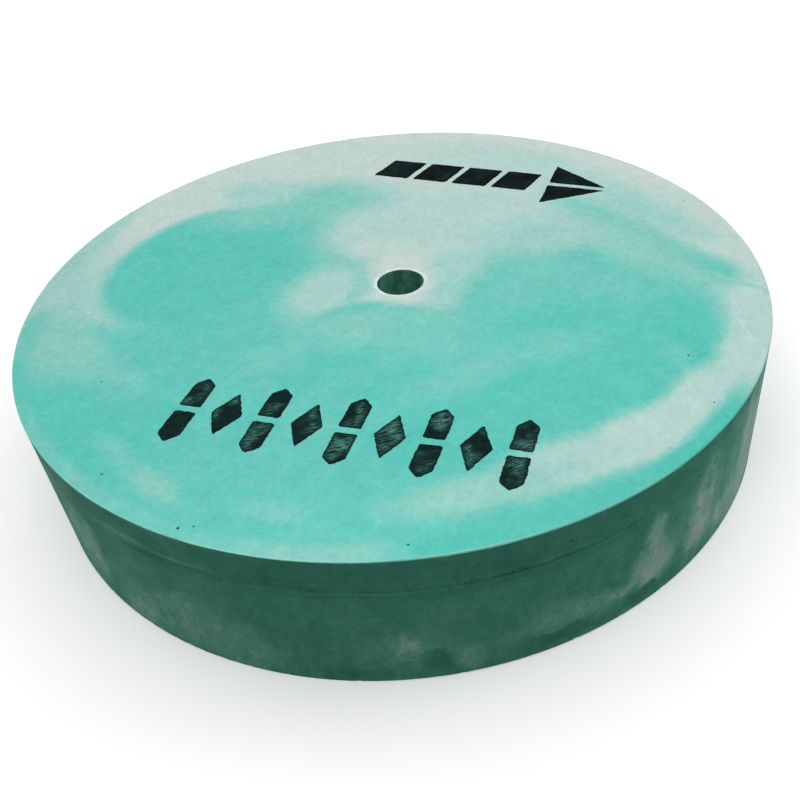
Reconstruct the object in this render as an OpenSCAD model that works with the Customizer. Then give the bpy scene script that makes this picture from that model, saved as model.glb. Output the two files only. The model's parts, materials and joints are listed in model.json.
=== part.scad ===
// Cast grinding wheel with a plain spindle bore and two stencilled marks, lying on its lower face.
// Millimetres. The origin is on the bore axis at the lower face, +Z runs up along the bore,
// and +X runs along the two marks.

/* [Wheel] */
// Outside diameter
wheel_d = 200; // [180:5:300]
// Thickness from face to face
wheel_t = 40; // [25:1:50]
// Diameter of the bore that takes the spindle
bore_d = 12; // [10:0.5:32]
// Chamfer at each mouth of the bore
bore_chamfer = 0.5; // [0.2:0.1:1.5]
// Chamfer round each outer rim
rim_chamfer = 0.4; // [0.2:0.1:2]

/* [Mould line] */
// Distance of the mould line below the upper face
seam_drop = 9.7; // [6:0.1:12]
// Width of the shallow groove that the mould line leaves
seam_w = 0.8; // [0.4:0.1:2]
// Depth of that groove
seam_depth = 0.15; // [0.05:0.05:0.5]

/* [Stencil] */
// Depth that the stencil paint soaks into the upper face
soak_depth = 0.3; // [0.1:0.05:1]
// Width of the bridges that hold the stencil together
bridge = 2; // [1:0.1:3]
// Distance of the two marks from the bore axis, as a share of the wheel's radius
mark_reach = 0.64; // [0.5:0.01:0.66]

/* [Bar row] */
// Number of upright bars, with a diamond between each two
bars = 5; // [2:1:5]
// Distance from each bar to the next diamond
bar_pitch = 9.9; // [8:0.1:10]
// Height of a bar
bar_h = 23; // [15:1:26]
// Width of a bar
bar_w = 5.4; // [4:0.1:7]
// Height of the point at each end of a bar
bar_tip = 2.4; // [1:0.1:5]
// Height of a diamond
diamond_h = 15; // [8:1:20]
// Width of a diamond
diamond_w = 7.6; // [5:0.1:8]

/* [Arrow] */
// Number of blocks in the shaft
shaft_blocks = 4; // [2:1:4]
// Length of a block
block_l = 11.4; // [8:0.1:12]
// Height of the shaft
shaft_h = 12; // [8:1:15]
// How far the upper edge of a block leans towards the head
block_lean = 3; // [0:0.5:4]
// Length of the head
head_l = 20; // [12:1:22]
// Height of the head
head_h = 26; // [18:1:28]
// Turn of the arrow from the line of the bar row, in degrees
arrow_turn = -2.6; // [-10:0.1:10]

/* [Hidden] */

$fn = 96;

wheel_r = wheel_d / 2;
bore_r = bore_d / 2;
seam_z = wheel_t - seam_drop;

// The arrow and the bar row sit on opposite sides of the bore, a little to the right of it.
arrow_at = [0.11 * wheel_r, mark_reach * wheel_r + 2];
bar_row_at = [0.075 * wheel_r, -mark_reach * wheel_r + 2.5];

cells = 2 * bars - 1;
block_step = block_l + bridge;
arrow_l = shaft_blocks * block_step + head_l;

// The overlap that keeps a pocket's mouth open.
cut = 1;

// Half section of the wheel, turned round the bore axis.
module wheel_profile() {
    polygon([
        [bore_r + bore_chamfer, 0],
        [wheel_r - rim_chamfer, 0],
        [wheel_r, rim_chamfer],
        [wheel_r, seam_z - seam_w / 2],
        [wheel_r - seam_depth, seam_z],
        [wheel_r, seam_z + seam_w / 2],
        [wheel_r, wheel_t - rim_chamfer],
        [wheel_r - rim_chamfer, wheel_t],
        [bore_r + bore_chamfer, wheel_t],
        [bore_r, wheel_t - bore_chamfer],
        [bore_r, bore_chamfer],
    ]);
}

// A level gap across a patch of paint, where a bridge of the stencil kept it off.
module bridge_gap(w) {
    square([w + cut, bridge], center = true);
}

// An upright bar with pointed ends, in two halves.
module split_bar() {
    side = bar_h / 2 - bar_tip;
    difference() {
        polygon([
            [0, -bar_h / 2], [bar_w / 2, -side], [bar_w / 2, side],
            [0, bar_h / 2], [-bar_w / 2, side], [-bar_w / 2, -side],
        ]);
        bridge_gap(bar_w);
    }
}

module diamond() {
    polygon([
        [0, -diamond_h / 2], [diamond_w / 2, 0],
        [0, diamond_h / 2], [-diamond_w / 2, 0],
    ]);
}

// Bars and diamonds in turn, with a bar at each end.
module bar_row_outline() {
    translate(bar_row_at)
        for (i = [0 : cells - 1])
            translate([(i - (cells - 1) / 2) * bar_pitch, 0])
                if (i % 2 == 0) split_bar();
                else diamond();
}

// One leaning block of the shaft, with its lower left corner at the origin.
module shaft_block() {
    polygon([[0, 0], [block_l, 0], [block_l + block_lean, shaft_h], [block_lean, shaft_h]]);
}

// The head, in two halves.
module arrow_head() {
    difference() {
        polygon([[0, -head_h / 2], [head_l, 0], [0, head_h / 2]]);
        translate([head_l / 2, 0]) bridge_gap(head_l);
    }
}

// A straight arrow that shows which way the wheel turns, broken by the bridges.
module arrow_outline() {
    translate(arrow_at) rotate(arrow_turn) translate([-arrow_l / 2, 0]) {
        for (i = [0 : shaft_blocks - 1])
            translate([i * block_step - block_lean, -shaft_h / 2]) shaft_block();
        translate([arrow_l - head_l + block_lean / 2, 0]) arrow_head();
    }
}

// The paint has soaked into the upper face, so it ends level with it.
module soaked_in(depth) {
    translate([0, 0, wheel_t - soak_depth]) linear_extrude(height = depth) children();
}

module abrasive_body() {
    color([0.42, 0.78, 0.72])
        difference() {
            rotate_extrude() wheel_profile();
            soaked_in(soak_depth + cut) arrow_outline();
            soaked_in(soak_depth + cut) bar_row_outline();
        }
}

module arrow_mark() {
    color([0.13, 0.16, 0.17]) soaked_in(soak_depth) arrow_outline();
}

module bar_row_mark() {
    color([0.15, 0.22, 0.21]) soaked_in(soak_depth) bar_row_outline();
}

abrasive_body();
arrow_mark();
bar_row_mark();
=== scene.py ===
"""A cast grinding wheel with two stencilled marks, lying on a pale studio floor."""

import json
import math
import random

import bmesh
import bpy
from mathutils import Matrix, Vector, noise
from mathutils.geometry import delaunay_2d_cdt
from mathutils.kdtree import KDTree


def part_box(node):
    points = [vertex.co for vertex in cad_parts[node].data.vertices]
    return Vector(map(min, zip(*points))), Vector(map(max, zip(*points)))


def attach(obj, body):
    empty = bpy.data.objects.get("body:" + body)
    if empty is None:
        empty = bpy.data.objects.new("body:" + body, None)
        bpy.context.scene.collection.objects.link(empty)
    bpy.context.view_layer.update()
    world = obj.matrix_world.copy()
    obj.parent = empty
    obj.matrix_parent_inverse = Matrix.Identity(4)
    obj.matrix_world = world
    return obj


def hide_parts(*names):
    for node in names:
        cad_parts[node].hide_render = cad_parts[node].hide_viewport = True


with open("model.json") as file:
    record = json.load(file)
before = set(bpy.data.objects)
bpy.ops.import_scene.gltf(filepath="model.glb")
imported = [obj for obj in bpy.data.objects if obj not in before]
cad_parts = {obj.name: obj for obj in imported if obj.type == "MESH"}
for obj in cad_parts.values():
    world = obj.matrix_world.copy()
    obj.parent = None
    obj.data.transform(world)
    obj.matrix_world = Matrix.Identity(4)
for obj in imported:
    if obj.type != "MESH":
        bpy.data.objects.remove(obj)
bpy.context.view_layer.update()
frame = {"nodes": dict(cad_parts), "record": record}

# Lengths are in millimetres up to the point where a mesh or the camera is made. The stage and
# the lamps are in metres.
MM = 0.001
TAU = 2 * math.pi

low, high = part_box("abrasive_body")
RADIUS = (high.x - low.x) / 2 / MM
THICKNESS = (high.z - low.z) / MM
BORE = next(m["dims"]["r_mm"] for m in frame["record"]["mounts"] if m["name"] == "spindle_bore")

# The mould line runs round the wall this far below the upper face.
SEAM_DROP = 9.7
SEAM_Z = THICKNESS - SEAM_DROP
SEAM_DEPTH = 0.16
SEAM_HALF_WIDTH = 0.42
# Where the mould line is sharpest, in radians from the front.
SEAM_SHARPEST = 0.58

# The faces and the wall lie this far inside the CAD solid, so that the paint and the uneven
# surface stay within it.
FACE_INSET = 0.06
WALL_INSET = 0.05
# Usual width of the worn outer edges.
RIM_WEAR = 0.22
# They are this much wider on one side, at this angle in radians from the front.
ROUNDER_WEAR = 0.3
ROUNDEST = 1.2
# Usual width and depth of the bore's flared mouths.
MOUTH_WEAR = 0.55
MOUTH_DEPTH = 2.8

# Points round the rim and round the bore.
RIM_POINTS = 1200
BORE_POINTS = 120
# Rows of points across a worn edge, down a mouth of the bore, and down the rest of the bore.
EDGE_ROWS = 5
MOUTH_ROWS = 8
BORE_ROWS = 44
# Distances between points on the faces, on the wall and along the mould line.
FACE_STEP = 2.2
WALL_STEP = 1.25
SEAM_STEP = 0.75
# Heights of the rows of points about the mould line, from its middle.
SEAM_ROWS = (-1.1, -0.7, -0.42, -0.2, 0.0, 0.2, 0.42, 0.7, 1.1)

# The paint's top and bottom lie this far below the CAD's upper face.
PAINT_TOP = 0.008
PAINT_DEPTH = 0.28


# ---------------------------------------------------------------- shapes


def lump(x, y, z, size, octaves=2):
    """Noise from about -1 to 1, with lumps of about that size."""
    return noise.fractal(Vector((x, y, z)) / size, 1.0, 2.0, octaves)


def smooth(t):
    """0 below 0, 1 above 1, and a smooth rise between."""
    t = min(1.0, max(0.0, t))
    return t * t * (3 - 2 * t)


def on_circle(angle, radius):
    """Angles run from the front, at -Y, towards +X."""
    return radius * math.sin(angle), -radius * math.cos(angle)


def face_height(side):
    """Height of the upper face where side is 1, and of the lower one where it is -1."""
    return THICKNESS - FACE_INSET if side > 0 else FACE_INSET


class Skin:
    """Vertices and faces of one piece. Sheets that meet are welded at the end."""

    def __init__(self):
        self.points, self.faces, self.slots = [], [], []

    def add(self, points, faces, slot):
        start = len(self.points)
        self.points += points
        self.faces += [[start + i for i in face] for face in faces]
        self.slots += [slot] * len(faces)

    def grid(self, rows, slot, flip=False):
        """Quads between closed rows of points, each row as long as the others."""
        count = len(rows[0])
        faces = []
        for r in range(len(rows) - 1):
            for i in range(count):
                j = (i + 1) % count
                face = [r * count + i, r * count + j, (r + 1) * count + j, (r + 1) * count + i]
                faces.append(face[::-1] if flip else face)
        self.add([p for row in rows for p in row], faces, slot)

    def make(self, name, materials):
        mesh = bpy.data.meshes.new(name)
        mesh.from_pydata([Vector(p) * MM for p in self.points], [], self.faces)
        for material in materials:
            mesh.materials.append(material)
        mesh.polygons.foreach_set("material_index", self.slots)
        shape = bmesh.new()
        shape.from_mesh(mesh)
        bmesh.ops.remove_doubles(shape, verts=shape.verts, dist=0.001 * MM)
        bmesh.ops.recalc_face_normals(shape, faces=shape.faces)
        open_edges = [e for e in shape.edges if len(e.link_faces) != 2]
        if open_edges:
            raise RuntimeError(f"{name} has {len(open_edges)} open edges")
        shape.to_mesh(mesh)
        shape.free()
        mesh.shade_smooth()
        piece = bpy.data.objects.new(name, mesh)
        bpy.context.scene.collection.objects.link(piece)
        return piece


def triangles(outline, hole, inner):
    """Triangulates the flat area inside outline and outside hole, through the inner points."""
    loops = [loop for loop in (outline, hole) if loop]
    flat, sides = [], []
    for loop in loops:
        sides.append(list(range(len(flat), len(flat) + len(loop))))
        flat += loop
    found = delaunay_2d_cdt([Vector(p) for p in flat + inner], [], sides, 0, 1e-5)
    kept = [face for face, within in zip(found[2], found[5]) if 0 in within and 1 not in within]
    used = {old: new for new, old in enumerate(sorted({i for face in kept for i in face}))}
    return [tuple(found[0][i]) for i in used], [[used[i] for i in face] for face in kept]


def hexagonal(x_range, y_range, step):
    """Points on a triangular lattice."""
    found, row = [], 0
    y = y_range[0]
    while y < y_range[1]:
        x = x_range[0] + (step / 2 if row % 2 else 0)
        while x < x_range[1]:
            found.append((x, y))
            x += step
        y += step * math.sqrt(3) / 2
        row += 1
    return found


class Pits:
    """Small round dents in a flat sheet, each (x, y, radius, depth)."""

    # Rings of points in a dent, as a share of its radius and a number of points.
    RINGS = ((0.0, 1), (0.4, 6), (0.75, 9), (1.1, 12))
    # Lattice points nearer to the middle of a dent than this many radii are left out.
    CLEAR = 1.5
    # The dents are looked up by squares of this side.
    CELL = 4.0

    def __init__(self, pits):
        self.pits = pits
        self.near = {}
        for pit in pits:
            column, row = self.square(pit[0], pit[1])
            for i in (-1, 0, 1):
                for j in (-1, 0, 1):
                    self.near.setdefault((column + i, row + j), []).append(pit)

    def square(self, x, y):
        return int(x // self.CELL), int(y // self.CELL)

    def around(self, x, y):
        return self.near.get(self.square(x, y), [])

    def refine(self, points):
        """Swaps the lattice points at each dent for rings of closer ones."""
        kept = [
            (x, y) for x, y in points
            if all(math.hypot(x - p[0], y - p[1]) > self.CLEAR * p[2] for p in self.around(x, y))
        ]
        for px, py, radius, _ in self.pits:
            for share, count in self.RINGS:
                reach = share * radius
                for i in range(count):
                    a = TAU * i / count
                    kept.append((px + reach * math.cos(a), py + reach * math.sin(a)))
        return kept

    def depth(self, x, y):
        return sum(
            depth * (1 - smooth(math.hypot(x - px, y - py) / radius))
            for px, py, radius, depth in self.around(x, y)
        )


def scattered(seed, count, place, sizes, apart=3.0):
    """Seeded dents, no two of them closer together than apart."""
    dice, pits = random.Random(seed), []
    while len(pits) < count:
        x, y = place(dice)
        if all(math.hypot(x - p[0], y - p[1]) > apart for p in pits):
            radius = dice.uniform(*sizes)
            pits.append((x, y, radius, radius * dice.uniform(0.35, 0.7)))
    return pits


# ---------------------------------------------------------------- the wheel


def chips(seed, count):
    """Nicks in an outer edge, as (angle, half width, extra wear)."""
    dice = random.Random(seed)
    return [
        (dice.uniform(0, TAU), dice.uniform(0.4, 1.2), dice.uniform(0.05, 0.3))
        for _ in range(count)
    ]


def edge_wear(angle, z, nicks):
    """Width of a worn outer edge at that angle."""
    x, y = on_circle(angle, RADIUS)
    wear = RIM_WEAR + 0.06 * lump(x, y, z, 9) + 0.03 * lump(x, y, z, 1.5)
    wear += ROUNDER_WEAR * smooth(2.2 * math.cos(angle - ROUNDEST) - 1)
    for at, half_width, extra in nicks:
        gap = abs((angle - at + math.pi) % TAU - math.pi) * RADIUS
        wear += extra * (1 - smooth(gap / half_width))
    return wear


def mouth_wear(angle, z):
    """How far a mouth of the bore flares at that angle."""
    x, y = on_circle(angle, BORE)
    return MOUTH_WEAR + 0.06 * lump(x, y, z, 3)


def seam_depth(angle, z):
    """The mould line is a shallow groove that comes and goes, with a crumbly lip above it."""
    x, y = on_circle(angle, RADIUS)
    middle = SEAM_Z + 0.2 * lump(x, y, 5, 30)
    sharpest = math.cos(angle - SEAM_SHARPEST) ** 15
    strength = 0.12 + 0.88 * smooth(1.4 * lump(x, y, 50, 30) + sharpest)
    crumbs = smooth(0.6 + 1.2 * lump(x, y, 80, 1.6))
    groove = SEAM_DEPTH * (1 - smooth(abs(z - middle) / SEAM_HALF_WIDTH))
    lip = 0.05 * crumbs * (1 - smooth(abs(z - middle - 0.5) / 0.45))
    return strength * (groove - lip)


def wall_radius(angle, z, pits, fade):
    """Radius of the outer wall. fade brings it to the plain circle at its two edges."""
    x, y = on_circle(angle, RADIUS)
    rise = 0.03 * lump(x, y, z, 25) + 0.012 * lump(x, y, 3 * z, 6)
    turned = 0.012 * noise.noise(Vector((x / 60, y / 60, z * 1.7)))
    inward = WALL_INSET + rise + turned + seam_depth(angle, z) + pits.depth(angle * RADIUS, z)
    return RADIUS - max(0.0, inward) * smooth(fade)


def face_drop(x, y, pits):
    """How far a face lies below the plane of its outer edge."""
    return 0.02 + 0.02 * lump(x, y, 0, 22) + 0.006 * lump(x, y, 9, 4) + pits.depth(x, y)


def edge_rows(wear, side):
    """Rows of points round a worn outer edge, from the face out to the wall."""
    face_z = face_height(side)
    rows = []
    for k in range(EDGE_ROWS + 1):
        a = math.pi / 2 * (1 - k / EDGE_ROWS)
        row = []
        for i, w in enumerate(wear):
            x, y = on_circle(TAU * i / RIM_POINTS, RADIUS - w + w * math.cos(a))
            row.append((x, y, face_z - side * w * (1 - math.sin(a))))
        rows.append(row)
    return rows


def mouth_rows(side):
    """Rows of points down a mouth of the bore, which narrows from the face to the bore's wall."""
    face_z = face_height(side)
    rows = []
    for k in range(MOUTH_ROWS + 1):
        share = k / MOUTH_ROWS
        row = []
        for i in range(BORE_POINTS):
            angle = TAU * i / BORE_POINTS
            x, y = on_circle(angle, BORE + mouth_wear(angle, face_z) * (1 - share) ** 1.4)
            row.append((x, y, face_z - side * MOUTH_DEPTH * share ** 1.8))
        rows.append(row)
    return rows


def add_face(skin, outer, inner, side, pits, slot):
    """A flat face between the worn outer edge and the bore's mouth."""
    outer_r, inner_r = RADIUS - RIM_WEAR, BORE + MOUTH_WEAR
    lattice = [
        (x, y) for x, y in hexagonal((-RADIUS, RADIUS), (-RADIUS, RADIUS), FACE_STEP)
        if inner_r + 3 < math.hypot(x, y) < outer_r - 4
    ]
    # Rings that lead from the close points of the edges to the lattice.
    for inset, every in ((1.2, 1), (2.1, 2), (3.3, 3)):
        count = RIM_POINTS // every
        lattice += [on_circle(TAU * (i + 0.5) / count, outer_r - inset) for i in range(count)]
    for outset, count in ((0.5, 90), (1.3, 60), (2.4, 40)):
        lattice += [on_circle(TAU * i / count, inner_r + outset) for i in range(count)]
    flat, faces = triangles([p[:2] for p in outer], [p[:2] for p in inner], pits.refine(lattice))
    points = []
    for x, y in flat:
        r = math.hypot(x, y)
        fade = smooth(min(outer_r - 0.6 - r, r - inner_r - 0.3) / 1.5)
        points.append((x, y, face_height(side) - side * fade * face_drop(x, y, pits)))
    skin.add(points, faces, slot)


def add_wall(skin, top, bottom, pits, slot):
    """The outer wall, laid out flat as angle times radius against height."""
    around = TAU * RADIUS
    step_u = around / RIM_POINTS
    ends = [RIM_WEAR + k for k in range(1, int(THICKNESS - 2 * RIM_WEAR))]
    loop = [(i * step_u, bottom[i % RIM_POINTS][2]) for i in range(RIM_POINTS + 1)]
    loop += [(around, z) for z in ends]
    loop += [(i * step_u, top[i % RIM_POINTS][2]) for i in range(RIM_POINTS, -1, -1)]
    loop += [(0.0, z) for z in reversed(ends)]
    inner = [
        (u, z) for u, z in hexagonal((0.7, around - 0.5), (1.6, THICKNESS - 1.4), WALL_STEP)
        if abs(z - SEAM_Z) > 1.2
    ]
    inner = pits.refine(inner)
    # Closer rows of points along the mould line.
    count = int(around / SEAM_STEP)
    for k, rise in enumerate(SEAM_ROWS):
        start = 0.25 + 0.5 * (k % 2)
        inner += [((i + start) * around / count, SEAM_Z + rise) for i in range(count)]
    flat, faces = triangles(loop, None, inner)
    points = []
    for u, z in flat:
        angle = (u / RADIUS) % TAU
        if u > around - 1e-3:
            angle = 0.0
        fade = min(z - 1.1, THICKNESS - 1.1 - z) / 1.2
        x, y = on_circle(angle, wall_radius(angle, z, pits, fade))
        points.append((x, y, z))
    skin.add(points, faces, slot)


def add_bore(skin, top, bottom, slot):
    """The bore's wall, drawn a little rough where the core was pulled."""
    rows = []
    for k in range(BORE_ROWS + 1):
        share = k / BORE_ROWS
        row = []
        for i in range(BORE_POINTS):
            angle = TAU * i / BORE_POINTS
            z = bottom[i][2] + (top[i][2] - bottom[i][2]) * share
            x, y = on_circle(angle, BORE)
            rough = 0.05 * lump(x, y, z / 5, 1.6) + 0.05 * lump(x, y, z, 2.5)
            fade = smooth(min(share, 1 - share) * 12)
            row.append((*on_circle(angle, BORE + fade * abs(rough)), z))
        rows.append(row)
    skin.grid(rows, slot)


def on_face(dice):
    """A random place on a face, clear of the bore and the outer edge."""
    angle, r = dice.uniform(0, TAU), 92 * math.sqrt(dice.uniform(0.02, 1))
    return on_circle(angle, r)


def on_wall(dice):
    """A random place on the wall, clear of the mould line."""
    u, z = dice.uniform(4, TAU * RADIUS - 4), dice.uniform(3, THICKNESS - 3)
    return (u, z) if abs(z - SEAM_Z) > 2.2 else (u, z - 5)


# The pits that stand out on the upper face, then a scatter of smaller ones.
FACE_PITS = [
    (-58, -56, 0.45, 0.35), (-40, -85, 0.45, 0.35), (-16, -96, 0.6, 0.45), (-13, -95, 0.4, 0.3),
    (31, -91, 0.45, 0.35), (73, 61, 0.5, 0.4), (80, -19, 0.5, 0.4), (87, -36, 0.4, 0.3),
    (-81, 20, 0.4, 0.3), (56, 42, 0.35, 0.15), (-14, 13, 1.0, 0.14), (-18, 18, 1.3, 0.13),
]


def mark_dents(piece, faces, wall):
    """Stores 1 at the points that lie deep in a dent, for the materials to darken as painted shade."""
    values = []
    for v in piece.data.vertices:
        x, y, z = v.co / MM
        r = math.hypot(x, y)
        if r > RADIUS - 1.5 and 1 < z < THICKNESS - 1:
            depth = wall.depth((math.atan2(x, -y) % TAU) * RADIUS, z)
        elif BORE + 1 < r < RADIUS - 1:
            depth = faces[z > THICKNESS / 2].depth(x, y)
        else:
            depth = 0.0
        values.append(smooth((depth - 0.1) / 0.12))
    piece.data.attributes.new("dent", "FLOAT", "POINT").data.foreach_set("value", values)


def build_wheel(materials):
    """The casting. The materials are for its upper face, wall, lower face and bore."""
    upper_nicks, lower_nicks = chips(3, 22), chips(5, 60)
    angles = [TAU * i / RIM_POINTS for i in range(RIM_POINTS)]
    upper = edge_rows([edge_wear(a, THICKNESS, upper_nicks) for a in angles], 1)
    lower = edge_rows([edge_wear(a, 0, lower_nicks) for a in angles], -1)
    upper_mouth, lower_mouth = mouth_rows(1), mouth_rows(-1)
    skin = Skin()
    skin.grid(upper, 0)
    skin.grid(lower, 1, flip=True)
    skin.grid(upper_mouth[:2], 0, flip=True)
    skin.grid(upper_mouth[1:], 3, flip=True)
    skin.grid(lower_mouth[:2], 2)
    skin.grid(lower_mouth[1:], 3)
    upper_pits = Pits(FACE_PITS + scattered(11, 40, on_face, (0.14, 0.24)))
    lower_pits = Pits(scattered(12, 90, on_face, (0.2, 0.6)))
    wall_pits = Pits(scattered(13, 120, on_wall, (0.2, 0.5)))
    add_face(skin, upper[0], upper_mouth[0], 1, upper_pits, 0)
    add_face(skin, lower[0], lower_mouth[0], -1, lower_pits, 2)
    add_wall(skin, upper[-1], lower[-1], wall_pits, 1)
    add_bore(skin, upper_mouth[-1], lower_mouth[-1], 3)
    piece = skin.make("cast_wheel", materials)
    mark_dents(piece, (lower_pits, upper_pits), wall_pits)
    return piece


# ---------------------------------------------------------------- the paint


def outlines(node):
    """The closed outlines of a CAD node's upper faces, in millimetres."""
    shape = bmesh.new()
    shape.from_mesh(frame["nodes"][node].data)
    bmesh.ops.remove_doubles(shape, verts=shape.verts, dist=0.001 * MM)
    shape.normal_update()
    top = {f for f in shape.faces if f.normal.z > 0.9}
    edges = [e for e in shape.edges if len([f for f in e.link_faces if f in top]) == 1]
    beside = {}
    for e in edges:
        for v in e.verts:
            beside.setdefault(v, []).append(e.other_vert(v))
    loops, used = [], set()
    for first in sorted(beside, key=lambda v: (v.co.x, v.co.y)):
        if first in used:
            continue
        loop, at = [], first
        while at is not None:
            used.add(at)
            loop.append((at.co.x / MM, at.co.y / MM))
            at = next((v for v in beside[at] if v not in used), None)
        loops.append(loop)
    shape.free()
    return loops


def area(loop):
    """Area inside a loop, above 0 where it runs anticlockwise."""
    return sum(a[0] * b[1] - b[0] * a[1] for a, b in zip(loop, loop[1:] + loop[:1])) / 2


def painted_edge(loop, step=0.3, bleed=0.16):
    """An outline as a brush leaves it: corners a little round, edges uneven."""
    if area(loop) < 0:
        loop = loop[::-1]
    points = []
    for a, b in zip(loop, loop[1:] + loop[:1]):
        start, side = Vector(a), Vector(b) - Vector(a)
        count = max(1, round(side.length / step))
        points += [start + side * k / count for k in range(count)]
    for _ in range(4):
        before, after = points[-1:] + points[:-1], points[1:] + points[:1]
        points = [(p + 2 * q + r) / 4 for p, q, r in zip(before, points, after)]
    uneven = []
    for i, (x, y) in enumerate(points):
        along = (points[(i + 2) % len(points)] - points[i - 2]).normalized()
        out = bleed * (lump(x, y, 0, 0.8) + 0.9 * lump(x, y, 30, 3.5))
        uneven.append((x + along.y * out, y - along.x * out))
    return uneven


def mark_inset(piece, rim, reach=1.3):
    """Stores how far each point is from the paint's edges, from 0 there to 1 at reach."""
    tree = KDTree(len(rim))
    for i, (x, y) in enumerate(rim):
        tree.insert((x, y, 0), i)
    tree.balance()
    values = []
    for v in piece.data.vertices:
        x, y, _ = v.co / MM
        values.append(min(1.0, tree.find((x, y, 0))[2] / reach))
    piece.data.attributes.new("inset", "FLOAT", "POINT").data.foreach_set("value", values)


def paint_height(x, y):
    """Height of the top of the paint, which is slightly uneven."""
    return THICKNESS - PAINT_TOP - 0.012 * abs(lump(x, y, 4, 1.5))


def build_paint(name, node, material):
    """The mark's patches, each a thin closed solid sunk in the upper face."""
    skin, rim = Skin(), []
    bottom = THICKNESS - PAINT_DEPTH
    for outline in outlines(node):
        loop = painted_edge(outline)
        rim += loop
        xs, ys = [p[0] for p in loop], [p[1] for p in loop]
        inner = hexagonal((min(xs), max(xs)), (min(ys), max(ys)), 1.1)
        flat, faces = triangles(loop, None, inner)
        skin.add([(x, y, paint_height(x, y)) for x, y in flat], faces, 0)
        skin.add([(x, y, bottom) for x, y in flat], [f[::-1] for f in faces], 0)
        lower_edge = [(x, y, bottom) for x, y in loop]
        upper_edge = [(x, y, paint_height(x, y)) for x, y in loop]
        skin.grid([lower_edge, upper_edge], 0)
    piece = skin.make(name, [material])
    mark_inset(piece, rim)
    return piece


# ---------------------------------------------------------------- materials


def tint(red, green, blue):
    """A colour given as screen values from 0 to 255, in Blender's linear numbers."""
    def linear(c):
        c /= 255
        return c / 12.92 if c <= 0.04045 else ((c + 0.055) / 1.055) ** 2.4
    return (linear(red), linear(green), linear(blue), 1.0)


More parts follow.
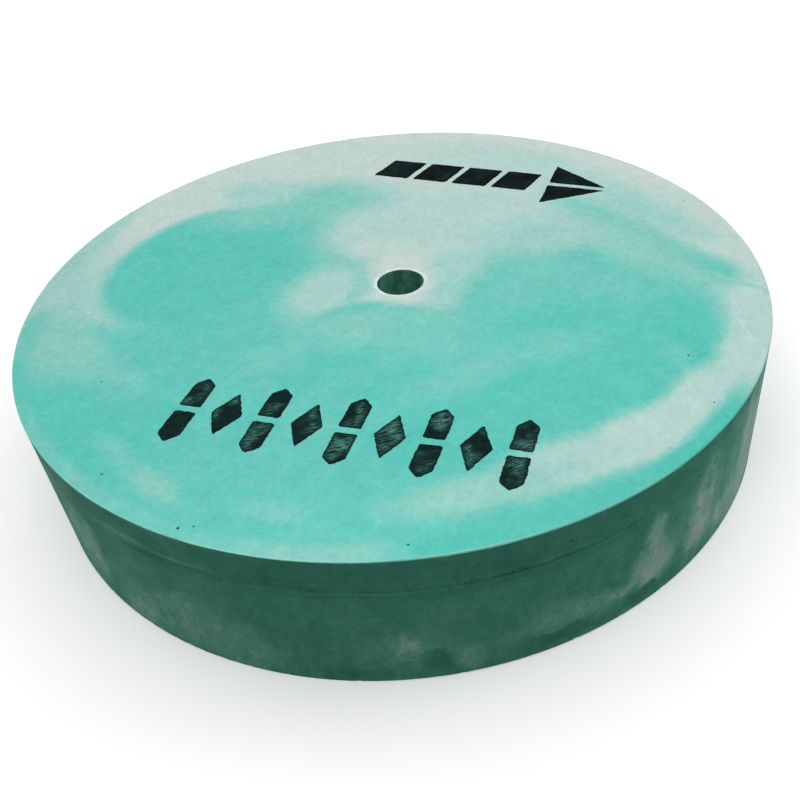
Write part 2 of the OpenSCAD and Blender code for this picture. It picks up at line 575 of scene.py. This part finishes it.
class Graph:
    """A material's node tree around one Principled shader. Places are in millimetres."""

    def __init__(self, name):
        self.material = bpy.data.materials.new(name)
        self.material.use_nodes = True
        self.tree = self.material.node_tree
        self.shader = self.tree.nodes["Principled BSDF"]
        coordinates = self.node("TexCoord").outputs["Object"]
        self.place = self.vector("SCALE", coordinates, scale=1 / MM)

    def node(self, kind, **settings):
        made = self.tree.nodes.new("ShaderNode" + kind)
        for key, value in settings.items():
            setattr(made, key, value)
        return made

    def feed(self, socket, value):
        """Links a node's output to the socket, or sets the socket to a plain value."""
        if isinstance(value, bpy.types.NodeSocket):
            self.tree.links.new(value, socket)
        else:
            socket.default_value = value

    def math(self, operation, a, b=0.0, clamp=False):
        made = self.node("Math", operation=operation, use_clamp=clamp)
        self.feed(made.inputs[0], a)
        self.feed(made.inputs[1], b)
        return made.outputs[0]

    def vector(self, operation, a, b=None, scale=None):
        made = self.node("VectorMath", operation=operation)
        self.feed(made.inputs[0], a)
        if b is not None:
            self.feed(made.inputs[1], b)
        if scale is not None:
            self.feed(made.inputs["Scale"], scale)
        return made.outputs["Value" if operation == "LENGTH" else "Vector"]

    def part(self, place, axis):
        """One of the three numbers of a place."""
        made = self.node("SeparateXYZ")
        self.feed(made.inputs[0], place)
        return made.outputs[axis]

    def noise(self, size, place=None, detail=3.0, rough=0.5, colour=False):
        made = self.node("TexNoise")
        self.feed(made.inputs["Vector"], self.place if place is None else place)
        self.feed(made.inputs["Scale"], 1 / size)
        self.feed(made.inputs["Detail"], detail)
        self.feed(made.inputs["Roughness"], rough)
        return made.outputs["Color" if colour else "Fac"]

    def stretched(self, scale, turn=(0, 0, 0), place=None):
        """Places stretched by scale along each axis."""
        made = self.node("Mapping", vector_type="TEXTURE")
        self.feed(made.inputs["Vector"], self.place if place is None else place)
        self.feed(made.inputs["Rotation"], turn)
        self.feed(made.inputs["Scale"], scale)
        return made.outputs[0]

    def fit(self, value, start, end, low=0.0, high=1.0):
        """Takes value from start..end to low..high, with smooth ends."""
        made = self.node("MapRange", interpolation_type="SMOOTHSTEP")
        for socket, number in zip(made.inputs, (value, start, end, low, high)):
            self.feed(socket, number)
        return made.outputs[0]

    def mix(self, share, a, b):
        """a where share is 0, and b where it is 1."""
        made = self.node("Mix", data_type="FLOAT")
        for index, value in ((0, share), (2, a), (3, b)):
            self.feed(made.inputs[index], value)
        return made.outputs[0]

    def blend(self, share, a, b):
        """Mixes two colours, as mix does two numbers."""
        made = self.node("Mix", data_type="RGBA")
        for index, value in ((0, share), (6, a), (7, b)):
            self.feed(made.inputs[index], value)
        return made.outputs[2]

    def ramp(self, value, stops):
        made = self.node("ValToRGB")
        self.feed(made.inputs[0], value)
        elements = made.color_ramp.elements
        while len(elements) < len(stops):
            elements.new(1.0)
        for element, (position, colour) in zip(elements, stops):
            element.position = position
            element.color = colour
        return made.outputs["Color"]

    def warped(self, place, size, reach):
        """Places pushed about by noise, so that what is drawn there gets ragged edges."""
        push = self.vector("SUBTRACT", self.noise(size, place, colour=True), (0.5, 0.5, 0.5))
        return self.vector("ADD", place, self.vector("SCALE", push, scale=reach))

    def cloud(self, value, place, centre, half, turn, softness, level):
        """Lays one soft-edged ellipse of that level over value."""
        made = self.node("Mapping", vector_type="TEXTURE")
        for socket, setting in zip(made.inputs, (place, centre, (0, 0, math.radians(turn)), half)):
            self.feed(socket, setting)
        distance = self.vector("LENGTH", made.outputs[0])
        share = self.fit(distance, 1 + softness, 1 - softness)
        return self.mix(share, value, level)

    def shaken(self, value, noise, amount):
        """Moves value up and down by noise."""
        return self.math("ADD", value, self.math("MULTIPLY", self.math("SUBTRACT", noise, 0.5), amount))

    def dents(self):
        """1 in the dents of the mesh and 0 elsewhere."""
        return self.node("Attribute", attribute_name="dent").outputs["Fac"]

    def bump(self, height, distance, strength=1.0):
        made = self.node("Bump")
        self.feed(made.inputs["Height"], height)
        self.feed(made.inputs["Distance"], distance * MM)
        self.feed(made.inputs["Strength"], strength)
        return made.outputs[0]

    def finish(self, colour, roughness, normal, specular):
        self.feed(self.shader.inputs["Base Color"], colour)
        self.feed(self.shader.inputs["Roughness"], roughness)
        self.feed(self.shader.inputs["Normal"], normal)
        self.feed(self.shader.inputs["Specular IOR Level"], specular)
        return self.material


# How pale the upper face is, from 0, clear teal, to 1, chalky, before any clouds.
UPPER_BASE = 0.93
# Each cloud: x, y, half length, half width, turn in degrees, softness, paleness.
UPPER_CLOUDS = [
    (0, 96, 64, 12, 0, 0.8, 1.04),
    (30, 76, 46, 14, -10, 0.6, 0.81),
    (12, 38, 42, 22, 0, 0.5, 0.82),
    (-71, -32, 34, 17, -52, 0.5, 0.64),
    (-42, -3, 34, 37, 0, 0.14, 0.13),
    (-60, -1, 24.5, 32, 0, 0.11, 0.07),
    (-66, 23, 8, 5, 20, 0.8, 0.16),
    (-69, -4, 8, 18, 0, 0.7, 0.03),
    (53, -7, 36.5, 37, 0, 0.18, 0.08),
    (28, 3, 10, 16, 0, 0.8, 0.22),
    (48, 11, 26, 11, 0, 0.8, 0.23),
    (79, -16, 6, 18, 5, 0.8, 0.0),
    (0, -62, 84, 43, 0, 0.16, 0.13),
    (-60, -64, 36, 20, -40, 0.3, 0.04),
    (45, -42, 38, 26, 30, 0.25, 0.05),
    (12, -22, 16, 12, 0, 0.4, 0.25),
    (-38, 42, 17, 12, 15, 0.7, 0.34),
    (-54, 29, 16, 8, 20, 0.8, 0.34),
    (-62, 43, 11, 8, 10, 0.7, 0.66),
    (62, 52, 22, 7, -35, 0.8, 0.60),
    (47, 48, 18, 6, -36, 0.7, 0.42),
    (68, 33, 20, 6, -38, 0.6, 0.36),
    (85, 22, 10, 5.5, -38, 0.7, 0.24),
    (57, 30, 22, 6, -34, 0.8, 0.50),
    (33, 32, 16, 10, 25, 0.8, 0.62),
    (-19, 23, 14, 13, -30, 0.7, 0.80),
    (-3, 9, 9, 9, 20, 0.5, 0.92),
    (-1, 6, 9, 8.5, 0, 0.3, 0.98),
    (-13, 15, 7, 6, 0, 0.6, 0.88),
    (13, 12, 8, 8, 0, 0.7, 0.67),
    (14, -2, 4.5, 8, 0, 0.6, 0.58),
    (2, -15, 14, 4, 0, 0.5, 0.30),
    (-19.5, -8, 9.5, 15, -8, 0.5, 0.70),
    (-10, -17, 9, 2.5, 40, 0.7, 0.20),
    (-7, -25, 11, 6, 20, 0.7, 0.38),
    (-18, -37, 14, 5, 38, 0.8, 0.23),
    (46, -21, 13, 6, 30, 0.8, 0.24),
    (29, -36, 18, 6, 50, 0.8, 0.24),
    (76, -19.5, 6, 4.5, -60, 0.8, 0.18),
    (94, -16, 9, 6, 78, 0.5, 0.86),
    (83, -35, 16, 7, 62, 0.4, 0.80),
    (72.4, -29, 8, 5.2, 66, 0.5, 0.05),
    (71.5, -51.5, 16.5, 8.2, 47, 0.35, 0.84),
    (57, -62.5, 15, 7.5, 35, 0.5, 0.74),
    (41, -74, 17, 5, 28, 0.6, 0.54),
    (65, -75, 20, 6, 42, 0.6, 0.10),
    (95, 2, 5, 22, 0, 0.6, 0.82),
    (-80, -44, 16, 7, -55, 0.7, 0.44),
    (-58, -52, 12, 7, -25, 0.8, 0.27),
    (-71, -46, 10, 6, -55, 0.7, 0.43),
    (-88.5, -41, 10, 3.5, -66, 0.7, 0.24),
    (-28, -85.5, 8, 2.8, -25, 0.7, 0.40),
    (-41, -78, 8, 2.6, -30, 0.8, 0.22),
    (0, -88, 7, 2.5, 0, 0.8, 0.27),
    (10, -101, 34, 4, 3, 0.7, 0.30),
    (-97, -8, 40, 4, -88, 0.8, 0.62),
    (50, 83, 26, 7, -32, 0.8, 1.02),
    # The dark end of the crease on the right.
    (91, 17, 9, 1.0, -22, 0.8, 0.56),
]
# Clear strips that follow the edge: azimuth in degrees, half length, radius where it begins,
# radius where it is full, paleness.
EDGE_STRIPS = [
    (60, 21, 93.6, 98.2, -0.10),
    (33, 25, 90.6, 97.6, 0.02),
    (-21, 48, 95.0, 98.0, 0.24),
    (8, 14, 94.0, 97.5, 0.42),
]
# Painted light and shade: brighter and duller areas, in the same form as the clouds, with a brightness
# for the paleness, and after them some real scratches.
UPPER_SHADE_AND_SCRATCHES = [
    (30, -42, 62, 42, 35, 0.9, 1.05),
    (18, -92, 42, 12, 12, 0.9, 1.09),
    (-96, -25, 52, 13, -78, 0.9, 0.94),
    # Faint scratches on the right.
    (93, -4.3, 6, 0.32, -66, 0.9, 1.12),
    (96, -9.2, 4, 0.5, 0, 0.9, 1.08),
    (81.5, -36, 3, 0.3, -55, 0.9, 1.08),
]
# Stretches of the outer edge with a painted highlight: azimuth in degrees, half length, how much.
RIM_HIGHLIGHT_ARCS = [
    (27, 14, 0.7),
    (42, 8, 0.4),
    (70, 38, 0.0),
]

# The photo doesn't show the underside. It is clouded in the same way.
LOWER_BASE = 0.85
LOWER_CLOUDS = [
    (-35, 40, 44, 30, 25, 0.3, 0.12),
    (42, 18, 40, 44, -20, 0.25, 0.10),
    (-20, -48, 60, 30, 10, 0.3, 0.14),
    (30, -60, 30, 12, -30, 0.6, 0.60),
    (-62, -20, 16, 26, 15, 0.6, 0.55),
    (0, 0, 15, 14, 0, 0.4, 0.92),
    (14, 62, 30, 10, -15, 0.7, 0.70),
]

# Colours of the upper face, from clear to chalky.
FACE_STOPS = (
    (0.0, tint(85, 197, 183)),
    (0.12, tint(100, 200, 188)),
    (0.5, tint(144, 206, 195)),
    (0.78, tint(176, 213, 206)),
    (1.0, tint(203, 216, 210)),
)
# Colours of the wall, from damp looking to chalky. They are darker than the faces' colours, partly a
# deeper green and partly painted shade.
WALL_STOPS = (
    (0.0, tint(50, 122, 98)),
    (0.25, tint(72, 158, 132)),
    (0.5, tint(116, 191, 171)),
    (1.0, tint(194, 223, 209)),
)

# How chalky the wall is, from 0 to 1, before any patches.
WALL_BASE = 0.25
# Chalky and damp patches on the wall.
# Each: azimuth in degrees, height, half width, half height, softness, level.
WALL_PATCHES = [
    (-32, 16, 5, 14, 0.7, 0.55),
    (-28.5, 18, 2.2, 9, 0.7, 0.62),
    (-12, 10, 15, 8, 0.8, 0.50),
    (-20, 5, 8, 6, 0.7, 0.56),
    (-4, 6, 8, 6, 0.7, 0.46),
    (10, 3, 8, 2, 0.6, 0.12),
    (18, 11, 8, 6, 0.8, 0.40),
    (17, 12.5, 3.2, 2.8, 0.7, 0.74),
    (20.5, 6.5, 4.2, 3.6, 0.4, 0.10),
    (25, 6, 3, 4, 0.7, 0.50),
    (36, 10, 10, 4, 0.8, 0.45),
    (41, 9, 7, 3, 0.7, 0.45),
    (46, 9, 4, 2, 0.6, 0.56),
    (38, 4, 8, 2, 0.4, 0.12),
    (51.6, 12, 5.8, 6.5, 0.6, 0.86),
    (51.4, 21, 2.8, 7, 0.7, 0.74),
    (50, 4, 5, 2.2, 0.35, 0.10),
    (66, 17, 16, 14, 0.8, 0.46),
    (60.8, 12, 4.6, 6.5, 0.6, 0.92),
    (61.4, 22, 3.8, 7, 0.6, 0.80),
    (62, 29, 3, 5, 0.7, 0.54),
    (66.5, 9.5, 3.4, 4.5, 0.7, 0.84),
    (65, 18, 2.0, 4, 0.7, 0.44),
    (72, 8, 8, 8, 0.7, 0.72),
    (67, 21, 2.0, 8, 0.6, 0.34),
    (71, 33, 3, 5, 0.7, 0.42),
    (74.5, 26, 3.8, 12, 0.7, 0.96),
    (75, 7, 5, 5, 0.7, 0.84),
    (66, 38.5, 9, 2.5, 0.7, 0.2),
    (79, 18, 6, 18, 0.6, 0.86),
    (105, 14, 12, 8, 0.7, 0.60),
    (128, 24, 9, 7, 0.7, 0.45),
    (150, 9, 14, 5, 0.6, 0.62),
    (171, 20, 4, 12, 0.6, 0.80),
    (186, 8, 10, 4, 0.7, 0.12),
    (203, 15, 12, 8, 0.8, 0.50),
    (226, 12, 5, 8, 0.5, 0.85),
    (229, 24, 3, 7, 0.6, 0.70),
    (252, 9, 13, 4, 0.7, 0.42),
    (276, 19, 6, 14, 0.7, 0.60),
    (300, 10, 12, 7, 0.7, 0.50),
    (315, 22, 5, 9, 0.7, 0.55),
]
# Narrow scuffs and stains that run along the wall, in the same form.
WALL_SCUFFS = [
    (-19, 33.0, 8, 0.8, 0.8, 0.52),
    (-10, 32.2, 7, 0.5, 0.8, 0.50),
    (-14, 30.4, 17, 0.9, 0.8, 0.14),
    (4, 33.4, 16, 0.4, 0.8, 0.18),
    (2, 31.6, 19, 0.35, 0.8, 0.16),
    (8, 29.2, 15, 0.4, 0.8, 0.18),
    (31, 28.4, 16, 1.6, 0.8, 0.18),
    (34, 30.2, 18, 0.4, 0.6, 0.02),
    (30, 27.6, 5, 0.25, 0.8, 0.32),
    (100, 32.6, 20, 0.5, 0.8, 0.13),
    (140, 31.2, 14, 0.5, 0.8, 0.42),
    (190, 29.0, 24, 0.5, 0.8, 0.12),
    (240, 33.2, 18, 0.5, 0.8, 0.42),
    (285, 31.0, 22, 0.6, 0.8, 0.12),
]


def at_rim(azimuth, z):
    """The place on the rim at that azimuth in degrees."""
    return (*on_circle(math.radians(azimuth), RADIUS), z)


def face_paleness(g, clouds, base, strips):
    """How chalky a face is: base, then the clouds, the strips along the edge and the mottling."""
    ragged = g.warped(g.warped(g.place, 24, 2.2), 5, 1.1)
    ragged = g.vector("MULTIPLY", g.warped(ragged, 1.2, 0.9), (1, 1, 0))
    pale = base
    for x, y, a, b, turn, softness, level in clouds:
        pale = g.cloud(pale, ragged, (x, y, 0), (a, b, 1), turn, softness, level)
    for azimuth, half_length, begins, full, level in strips:
        half = (half_length, 25, 1)
        near = g.cloud(0.0, ragged, at_rim(azimuth, 0), half, azimuth, 0.5, 1.0)
        share = g.math("MULTIPLY", near, g.fit(g.vector("LENGTH", ragged), begins, full))
        pale = g.mix(share, pale, level)
    # The clear parts are more mottled than the chalky ones.
    mottle = g.fit(pale, 0.3, 0.75, 1.2, 0.6)
    for size, amount in ((18, 0.16), (5, 0.24), (1.6, 0.14), (0.7, 0.10)):
        spots = g.noise(size, detail=3, rough=0.6)
        pale = g.shaken(pale, spots, g.math("MULTIPLY", mottle, amount))
    # Where clear and chalky meet, the mix is speckled.
    between = g.fit(g.math("ABSOLUTE", g.math("SUBTRACT", pale, 0.45)), 0.4, 0.1)
    speckle = g.noise(1.7, detail=4, rough=0.7)
    return g.shaken(pale, speckle, g.math("MULTIPLY", between, 0.40))


def rim_highlight_and_bore_ring(g, colour, highlight_arcs):
    """The outer edge gets a painted highlight in places, and the bore's edge is rubbed pale all round.
    """
    radius = g.vector("LENGTH", g.vector("MULTIPLY", g.place, (1, 1, 0)))
    # How strong the painted highlight is round the outer edge.
    paler_share = g.fit(g.noise(11), 0.4, 0.6, 0.1, 0.6)
    for azimuth, half_length, amount in highlight_arcs:
        half = (half_length, 12, THICKNESS)
        paler_share = g.cloud(paler_share, g.place, at_rim(azimuth, THICKNESS / 2), half, azimuth, 0.5, amount)
    rim_highlight = g.math("MULTIPLY", g.fit(radius, RADIUS - 0.5, RADIUS - 0.25), paler_share)
    # Painted highlight along the outer edge.
    colour = g.blend(rim_highlight, colour, tint(150, 226, 204))
    ring = g.fit(radius, BORE + 2.0, BORE + 0.8)
    ring = g.math("MULTIPLY", ring, g.fit(g.noise(3, detail=3), 0.35, 0.65, 0.2, 0.85))
    return g.blend(ring, colour, tint(228, 243, 237))


def face_material(name, clouds, base, strips=(), shade_and_scratches=(), highlight_arcs=()):
    """A face of the wheel, with its clouds on a ground of paleness base."""
    g = Graph(name)
    pale = face_paleness(g, clouds, base, strips)
    colour = rim_highlight_and_bore_ring(g, g.ramp(pale, FACE_STOPS), highlight_arcs)
    shade = 1.0
    # Painted light and shade from the listed brighter and duller areas, with the scratches among them,
    # then the grain.
    steady = g.vector("MULTIPLY", g.warped(g.place, 24, 2.6), (1, 1, 0))
    for x, y, a, b, turn, softness, brightness in shade_and_scratches:
        shade = g.cloud(shade, steady, (x, y, 0), (a, b, 1), turn, softness, brightness)
    grain = g.stretched((1, 1.2, 1))
    for size, amount in ((0.45, 0.24), (1.4, 0.25), (4, 0.14), (10, 0.08)):
        shade = g.shaken(shade, g.noise(size, grain, detail=3), amount)
    colour = g.vector("SCALE", colour, scale=shade)
    # Painted shade in the dents.
    colour = g.blend(g.dents(), colour, tint(40, 82, 74))
    roughness = g.math("ADD", g.math("MULTIPLY", pale, 0.1), 0.7)
    waves = g.math("MULTIPLY", g.noise(5, detail=2), 2.0)
    height = g.math("ADD", g.noise(0.7, detail=4, rough=0.6), waves)
    return g.finish(colour, roughness, g.bump(height, 0.04, 0.4), 0.25)


def wall_level(g, ragged, height_z, lines):
    """How chalky the wall is: patches, scuffs, mottling, turning lines and smears."""
    steady = g.warped(g.place, 6, 0.5)
    level = WALL_BASE
    for patches, place in ((WALL_PATCHES, ragged), (WALL_SCUFFS, steady)):
        for azimuth, z, half_width, half_height, softness, to in patches:
            half = (half_width, 12, half_height)
            level = g.cloud(level, place, at_rim(azimuth, z), half, azimuth, softness, to)
    for size, amount in ((12, 0.24), (3.5, 0.22), (1.0, 0.14)):
        level = g.shaken(level, g.noise(size, ragged, detail=3, rough=0.6), amount)
    # Chalky patches are blotched inside and ragged at their edges.
    chalk = g.fit(level, 0.32, 0.55)
    blotches = g.noise(1, g.stretched((2.6, 2.6, 4.5), place=ragged), detail=6, rough=0.75)
    level = g.shaken(level, blotches, g.math("MULTIPLY", chalk, 1.2))
    # The turning lines show above the mould line.
    level = g.shaken(level, lines, g.fit(height_z, 25, 31, 0.0, 0.15))
    # Smears run down the lower part.
    runs = g.noise(1, g.stretched((3, 3, 9), place=ragged), detail=4, rough=0.6)
    return g.shaken(level, runs, g.fit(height_z, 30, 18, 0.0, 0.36))


def lip_crumbs(g, off):
    """Pale crumbs along the lip of the mould line, in three stretches."""
    crumbs = g.math("MULTIPLY", g.fit(off, 0.5, 0.15), g.fit(g.noise(1.0, detail=2), 0.55, 0.64))
    total = 0.0
    for azimuth in (31, 150, 262):
        here = g.cloud(0.0, g.place, at_rim(azimuth, SEAM_Z), (19, 12, 3), azimuth, 0.4, 0.32)
        total = g.math("ADD", total, g.math("MULTIPLY", crumbs, here))
    return total


def lip_grains(g, off):
    """Dark grains along the lip, in broken stretches."""
    broken = g.math("MULTIPLY", g.fit(off, 1.0, 0.3), g.fit(g.noise(5, detail=3), 0.5, 0.62))
    return g.math("MULTIPLY", broken, g.fit(g.noise(0.9, detail=3), 0.48, 0.62, 0.0, 0.45))


def wall_material():
    """The outer wall, with chalky and damp patches on an even green."""
    g = Graph("cast_wall")
    ragged = g.warped(g.warped(g.warped(g.place, 14, 4), 4, 4.5), 1.2, 1.8)
    height_z = g.part(g.place, "Z")
    # Fine lines round the wall, left by turning.
    lines = g.noise(1, g.stretched((70, 70, 0.8)), detail=2)
    level = wall_level(g, ragged, height_z, lines)
    # Distance from the lip of the mould line.
    off = g.math("ABSOLUTE", g.math("SUBTRACT", height_z, SEAM_Z + 0.35))
    level = g.math("ADD", level, lip_crumbs(g, off))
    colour = g.ramp(level, WALL_STOPS)
    # Some of it is a warmer green.
    warm = g.fit(g.noise(7, ragged, detail=4), 0.42, 0.62)
    colour = g.blend(warm, colour, g.vector("MULTIPLY", colour, (1.02, 1.0, 0.965)))
    # Dark grains along the lip, and painted shade in the dents.
    grains_and_dent_shade = g.math("MAXIMUM", lip_grains(g, off), g.dents())
    colour = g.blend(grains_and_dent_shade, colour, tint(30, 62, 52))
    # The wall is a little darker and clearer in colour above the mould line.
    clearer = g.vector("MULTIPLY", colour, (0.9, 1.0, 1.01))
    colour = g.blend(g.fit(height_z, 22, 32), colour, clearer)
    shade = g.fit(height_z, 24, 34, 1.0, 0.84)
    for size, amount in ((0.35, 0.62), (1.2, 0.22)):
        shade = g.shaken(shade, g.noise(size, detail=3), amount)
    colour = g.vector("SCALE", colour, scale=shade)
    roughness = g.fit(g.noise(5), 0.3, 0.7, 0.66, 0.82)
    height = g.math("ADD", g.noise(0.9, detail=4, rough=0.6), g.math("MULTIPLY", lines, 0.35))
    return g.finish(colour, roughness, g.bump(height, 0.06, 0.5), 0.25)


def bore_material():
    """The bore's wall, in the outer wall's colours darkened as painted shade, and streaked along the
    bore.
    """
    g = Graph("cast_bore")
    streaks = g.noise(1, g.stretched((1.6, 1.6, 14)), detail=3)
    level = g.shaken(g.math("MULTIPLY", streaks, 0.7), g.noise(2.4, detail=5, rough=0.7), 1.1)
    # Painted shade inside the hole.
    colour = g.vector("MULTIPLY", g.ramp(level, WALL_STOPS), (0.72, 0.69, 0.68))
    specks = g.fit(g.noise(1.2, detail=4, rough=0.7), 0.55, 0.68, 0.0, 0.5)
    colour = g.blend(specks, colour, tint(24, 58, 46))
    # Painted shade, darker towards the mouths.
    half = THICKNESS / 2
    from_middle = g.math("ABSOLUTE", g.math("SUBTRACT", g.part(g.place, "Z"), half))
    colour = g.vector("SCALE", colour, scale=g.fit(from_middle, half - 3.5, half - 0.4, 1.0, 0.72))
    return g.finish(colour, 0.8, g.bump(g.noise(0.8, detail=4), 0.1, 0.6), 0.15)


def paint_material(name, colour, thin, streak):
    """Stencil paint. In the brush marks the colour thin shows through, as much as streak says."""
    g = Graph(name)
    unsteady = g.warped(g.place, 3, 0.9)
    # Brush strokes in two directions.
    steep = g.stretched((3.0, 0.34, 5), (0, 0, math.radians(38)), unsteady)
    shallow = g.stretched((1.6, 0.38, 5), (0, 0, math.radians(8)), unsteady)
    strokes = (g.noise(1, steep, detail=4, rough=0.7), g.noise(1, shallow, detail=4, rough=0.75))
    brushed = g.mix(0.4, *strokes)
    where = g.fit(g.noise(7, detail=2), 0.42, 0.66)
    inset = g.node("Attribute", attribute_name="inset").outputs["Fac"]
    paler_share = g.math("MULTIPLY", g.math("MULTIPLY", g.fit(brushed, 0.45, 0.57), where), inset)
    paler_share = g.math("MULTIPLY", paler_share, streak, clamp=True)
    mottled = g.vector("SCALE", colour[:3], scale=g.fit(g.noise(1.8, detail=3), 0.3, 0.7, 0.75, 1.35))
    shade = g.blend(paler_share, mottled, thin)
    return g.finish(shade, g.mix(paler_share, 0.7, 0.85), g.bump(brushed, 0.03, 0.6), 0.06)


# ---------------------------------------------------------------- studio


# The camera's place, seen from the centre of the upper face.
CAMERA_AZIMUTH = 21.5
CAMERA_ELEVATION = 31.83
CAMERA_DISTANCE = 255.3
# Where it points, turned from that centre, in degrees.
CAMERA_PAN, CAMERA_TILT, CAMERA_ROLL = 5.69, 8.04, -5.97
CAMERA_LENS, CAMERA_SENSOR = 40.95, 36
CAMERA_SHIFT = -0.131

# The stage and the lamps, in metres and watts.
FLOOR_SIDE = 12
BACKDROP_RADIUS = 5.9
SOFTBOX_PLACE, SOFTBOX_SIZE, SOFTBOX_POWER = (0.05, -0.12, 1.5), 3.2, 37.2
SIDE_LIGHT_REACH, SIDE_LIGHT_HEIGHT, SIDE_LIGHT_SIZE = 1.41, 0.55, 0.8
# Azimuth in degrees and power of each.
SIDE_LIGHTS = ((120, 3.1), (-110, 2.2))
WORLD_GLOW = 0.085
# The floor's own glow rises between these distances from the middle, in millimetres.
GLOW_FROM, GLOW_FULL = 200, 1400


def turn(degrees, axis):
    return Matrix.Rotation(math.radians(degrees), 4, axis)


def add_camera():
    data = bpy.data.cameras.new("camera")
    data.lens, data.sensor_width = CAMERA_LENS, CAMERA_SENSOR
    data.shift_x = CAMERA_SHIFT
    data.clip_start, data.clip_end = 0.01, 100
    camera = bpy.data.objects.new("camera", data)
    swing = turn(CAMERA_AZIMUTH, "Z") @ turn(90 - CAMERA_ELEVATION, "X")
    centre = Vector((0, 0, THICKNESS))
    at = (centre + swing @ Vector((0, 0, CAMERA_DISTANCE))) * MM
    aim = turn(-CAMERA_PAN, "Y") @ turn(-CAMERA_TILT, "X") @ turn(CAMERA_ROLL, "Z")
    camera.matrix_world = Matrix.Translation(at) @ swing @ aim
    bpy.context.scene.collection.objects.link(camera)
    bpy.context.scene.camera = camera


def studio_white(name, near_glow, far_glow):
    """White that glows more away from the middle, where less of the lamps' light falls."""
    g = Graph(name)
    colour = (0.95, 0.95, 0.95, 1)
    radius = g.vector("LENGTH", g.place)
    glow = g.fit(radius, GLOW_FROM, GLOW_FULL, near_glow, far_glow)
    g.feed(g.shader.inputs["Emission Color"], colour)
    g.feed(g.shader.inputs["Emission Strength"], glow)
    return g.finish(colour, 0.9, (0, 0, 0), 0.0)


def add_stage():
    """A pale floor, and a pale wall far behind it that shows only to the camera."""
    bpy.ops.mesh.primitive_plane_add(size=FLOOR_SIDE)
    floor = bpy.context.object
    floor.name = "floor"
    floor.data.materials.append(studio_white("floor", 0.2, 1.05))
    floor.visible_diffuse = False
    bpy.ops.mesh.primitive_uv_sphere_add(segments=64, ring_count=32, radius=BACKDROP_RADIUS)
    sky = bpy.context.object
    sky.name = "backdrop"
    sky.data.materials.append(studio_white("backdrop", 1.05, 1.05))
    sky.visible_diffuse = sky.visible_shadow = sky.visible_glossy = False


def add_softbox(name, place, size, power, aimed):
    """A round lamp that the camera doesn't see. It faces the origin if aimed, or else straight down."""
    data = bpy.data.lights.new(name, "AREA")
    data.shape, data.size = "DISK", size
    data.energy = power
    lamp = bpy.data.objects.new(name, data)
    lamp.location = place
    if aimed:
        lamp.rotation_euler = Vector(place).to_track_quat("Z", "Y").to_euler()
    lamp.visible_camera = False
    bpy.context.scene.collection.objects.link(lamp)


def add_light():
    world = bpy.data.worlds.new("studio")
    world.use_nodes = True
    glow = world.node_tree.nodes["Background"]
    glow.inputs["Color"].default_value = (1, 1, 1, 1)
    glow.inputs["Strength"].default_value = WORLD_GLOW
    bpy.context.scene.world = world
    add_softbox("softbox", SOFTBOX_PLACE, SOFTBOX_SIZE, SOFTBOX_POWER, False)
    for azimuth, power in SIDE_LIGHTS:
        x, y = on_circle(math.radians(azimuth), SIDE_LIGHT_REACH)
        place = (x, y, SIDE_LIGHT_HEIGHT)
        add_softbox(f"side_light_{azimuth}", place, SIDE_LIGHT_SIZE, power, True)


# ---------------------------------------------------------------- assembly

add_camera()
add_stage()
add_light()
bpy.context.scene.view_settings.view_transform = "Standard"

wheel = build_wheel([
    face_material(
        "cast_upper_face", UPPER_CLOUDS, UPPER_BASE, EDGE_STRIPS, UPPER_SHADE_AND_SCRATCHES, RIM_HIGHLIGHT_ARCS
    ),
    wall_material(),
    face_material("cast_lower_face", LOWER_CLOUDS, LOWER_BASE),
    bore_material(),
])
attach(wheel, "root")
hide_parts("abrasive_body")

black = paint_material("black_paint", tint(12, 19, 21), tint(60, 110, 100), 0.2)
arrow = build_paint("arrow_paint", "arrow_mark", black)
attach(arrow, "root")
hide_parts("arrow_mark")

thin_black = paint_material("thin_black_paint", tint(10, 36, 33), tint(94, 160, 146), 0.86)
bars = build_paint("bar_row_paint", "bar_row_mark", thin_black)
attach(bars, "root")
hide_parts("bar_row_mark")
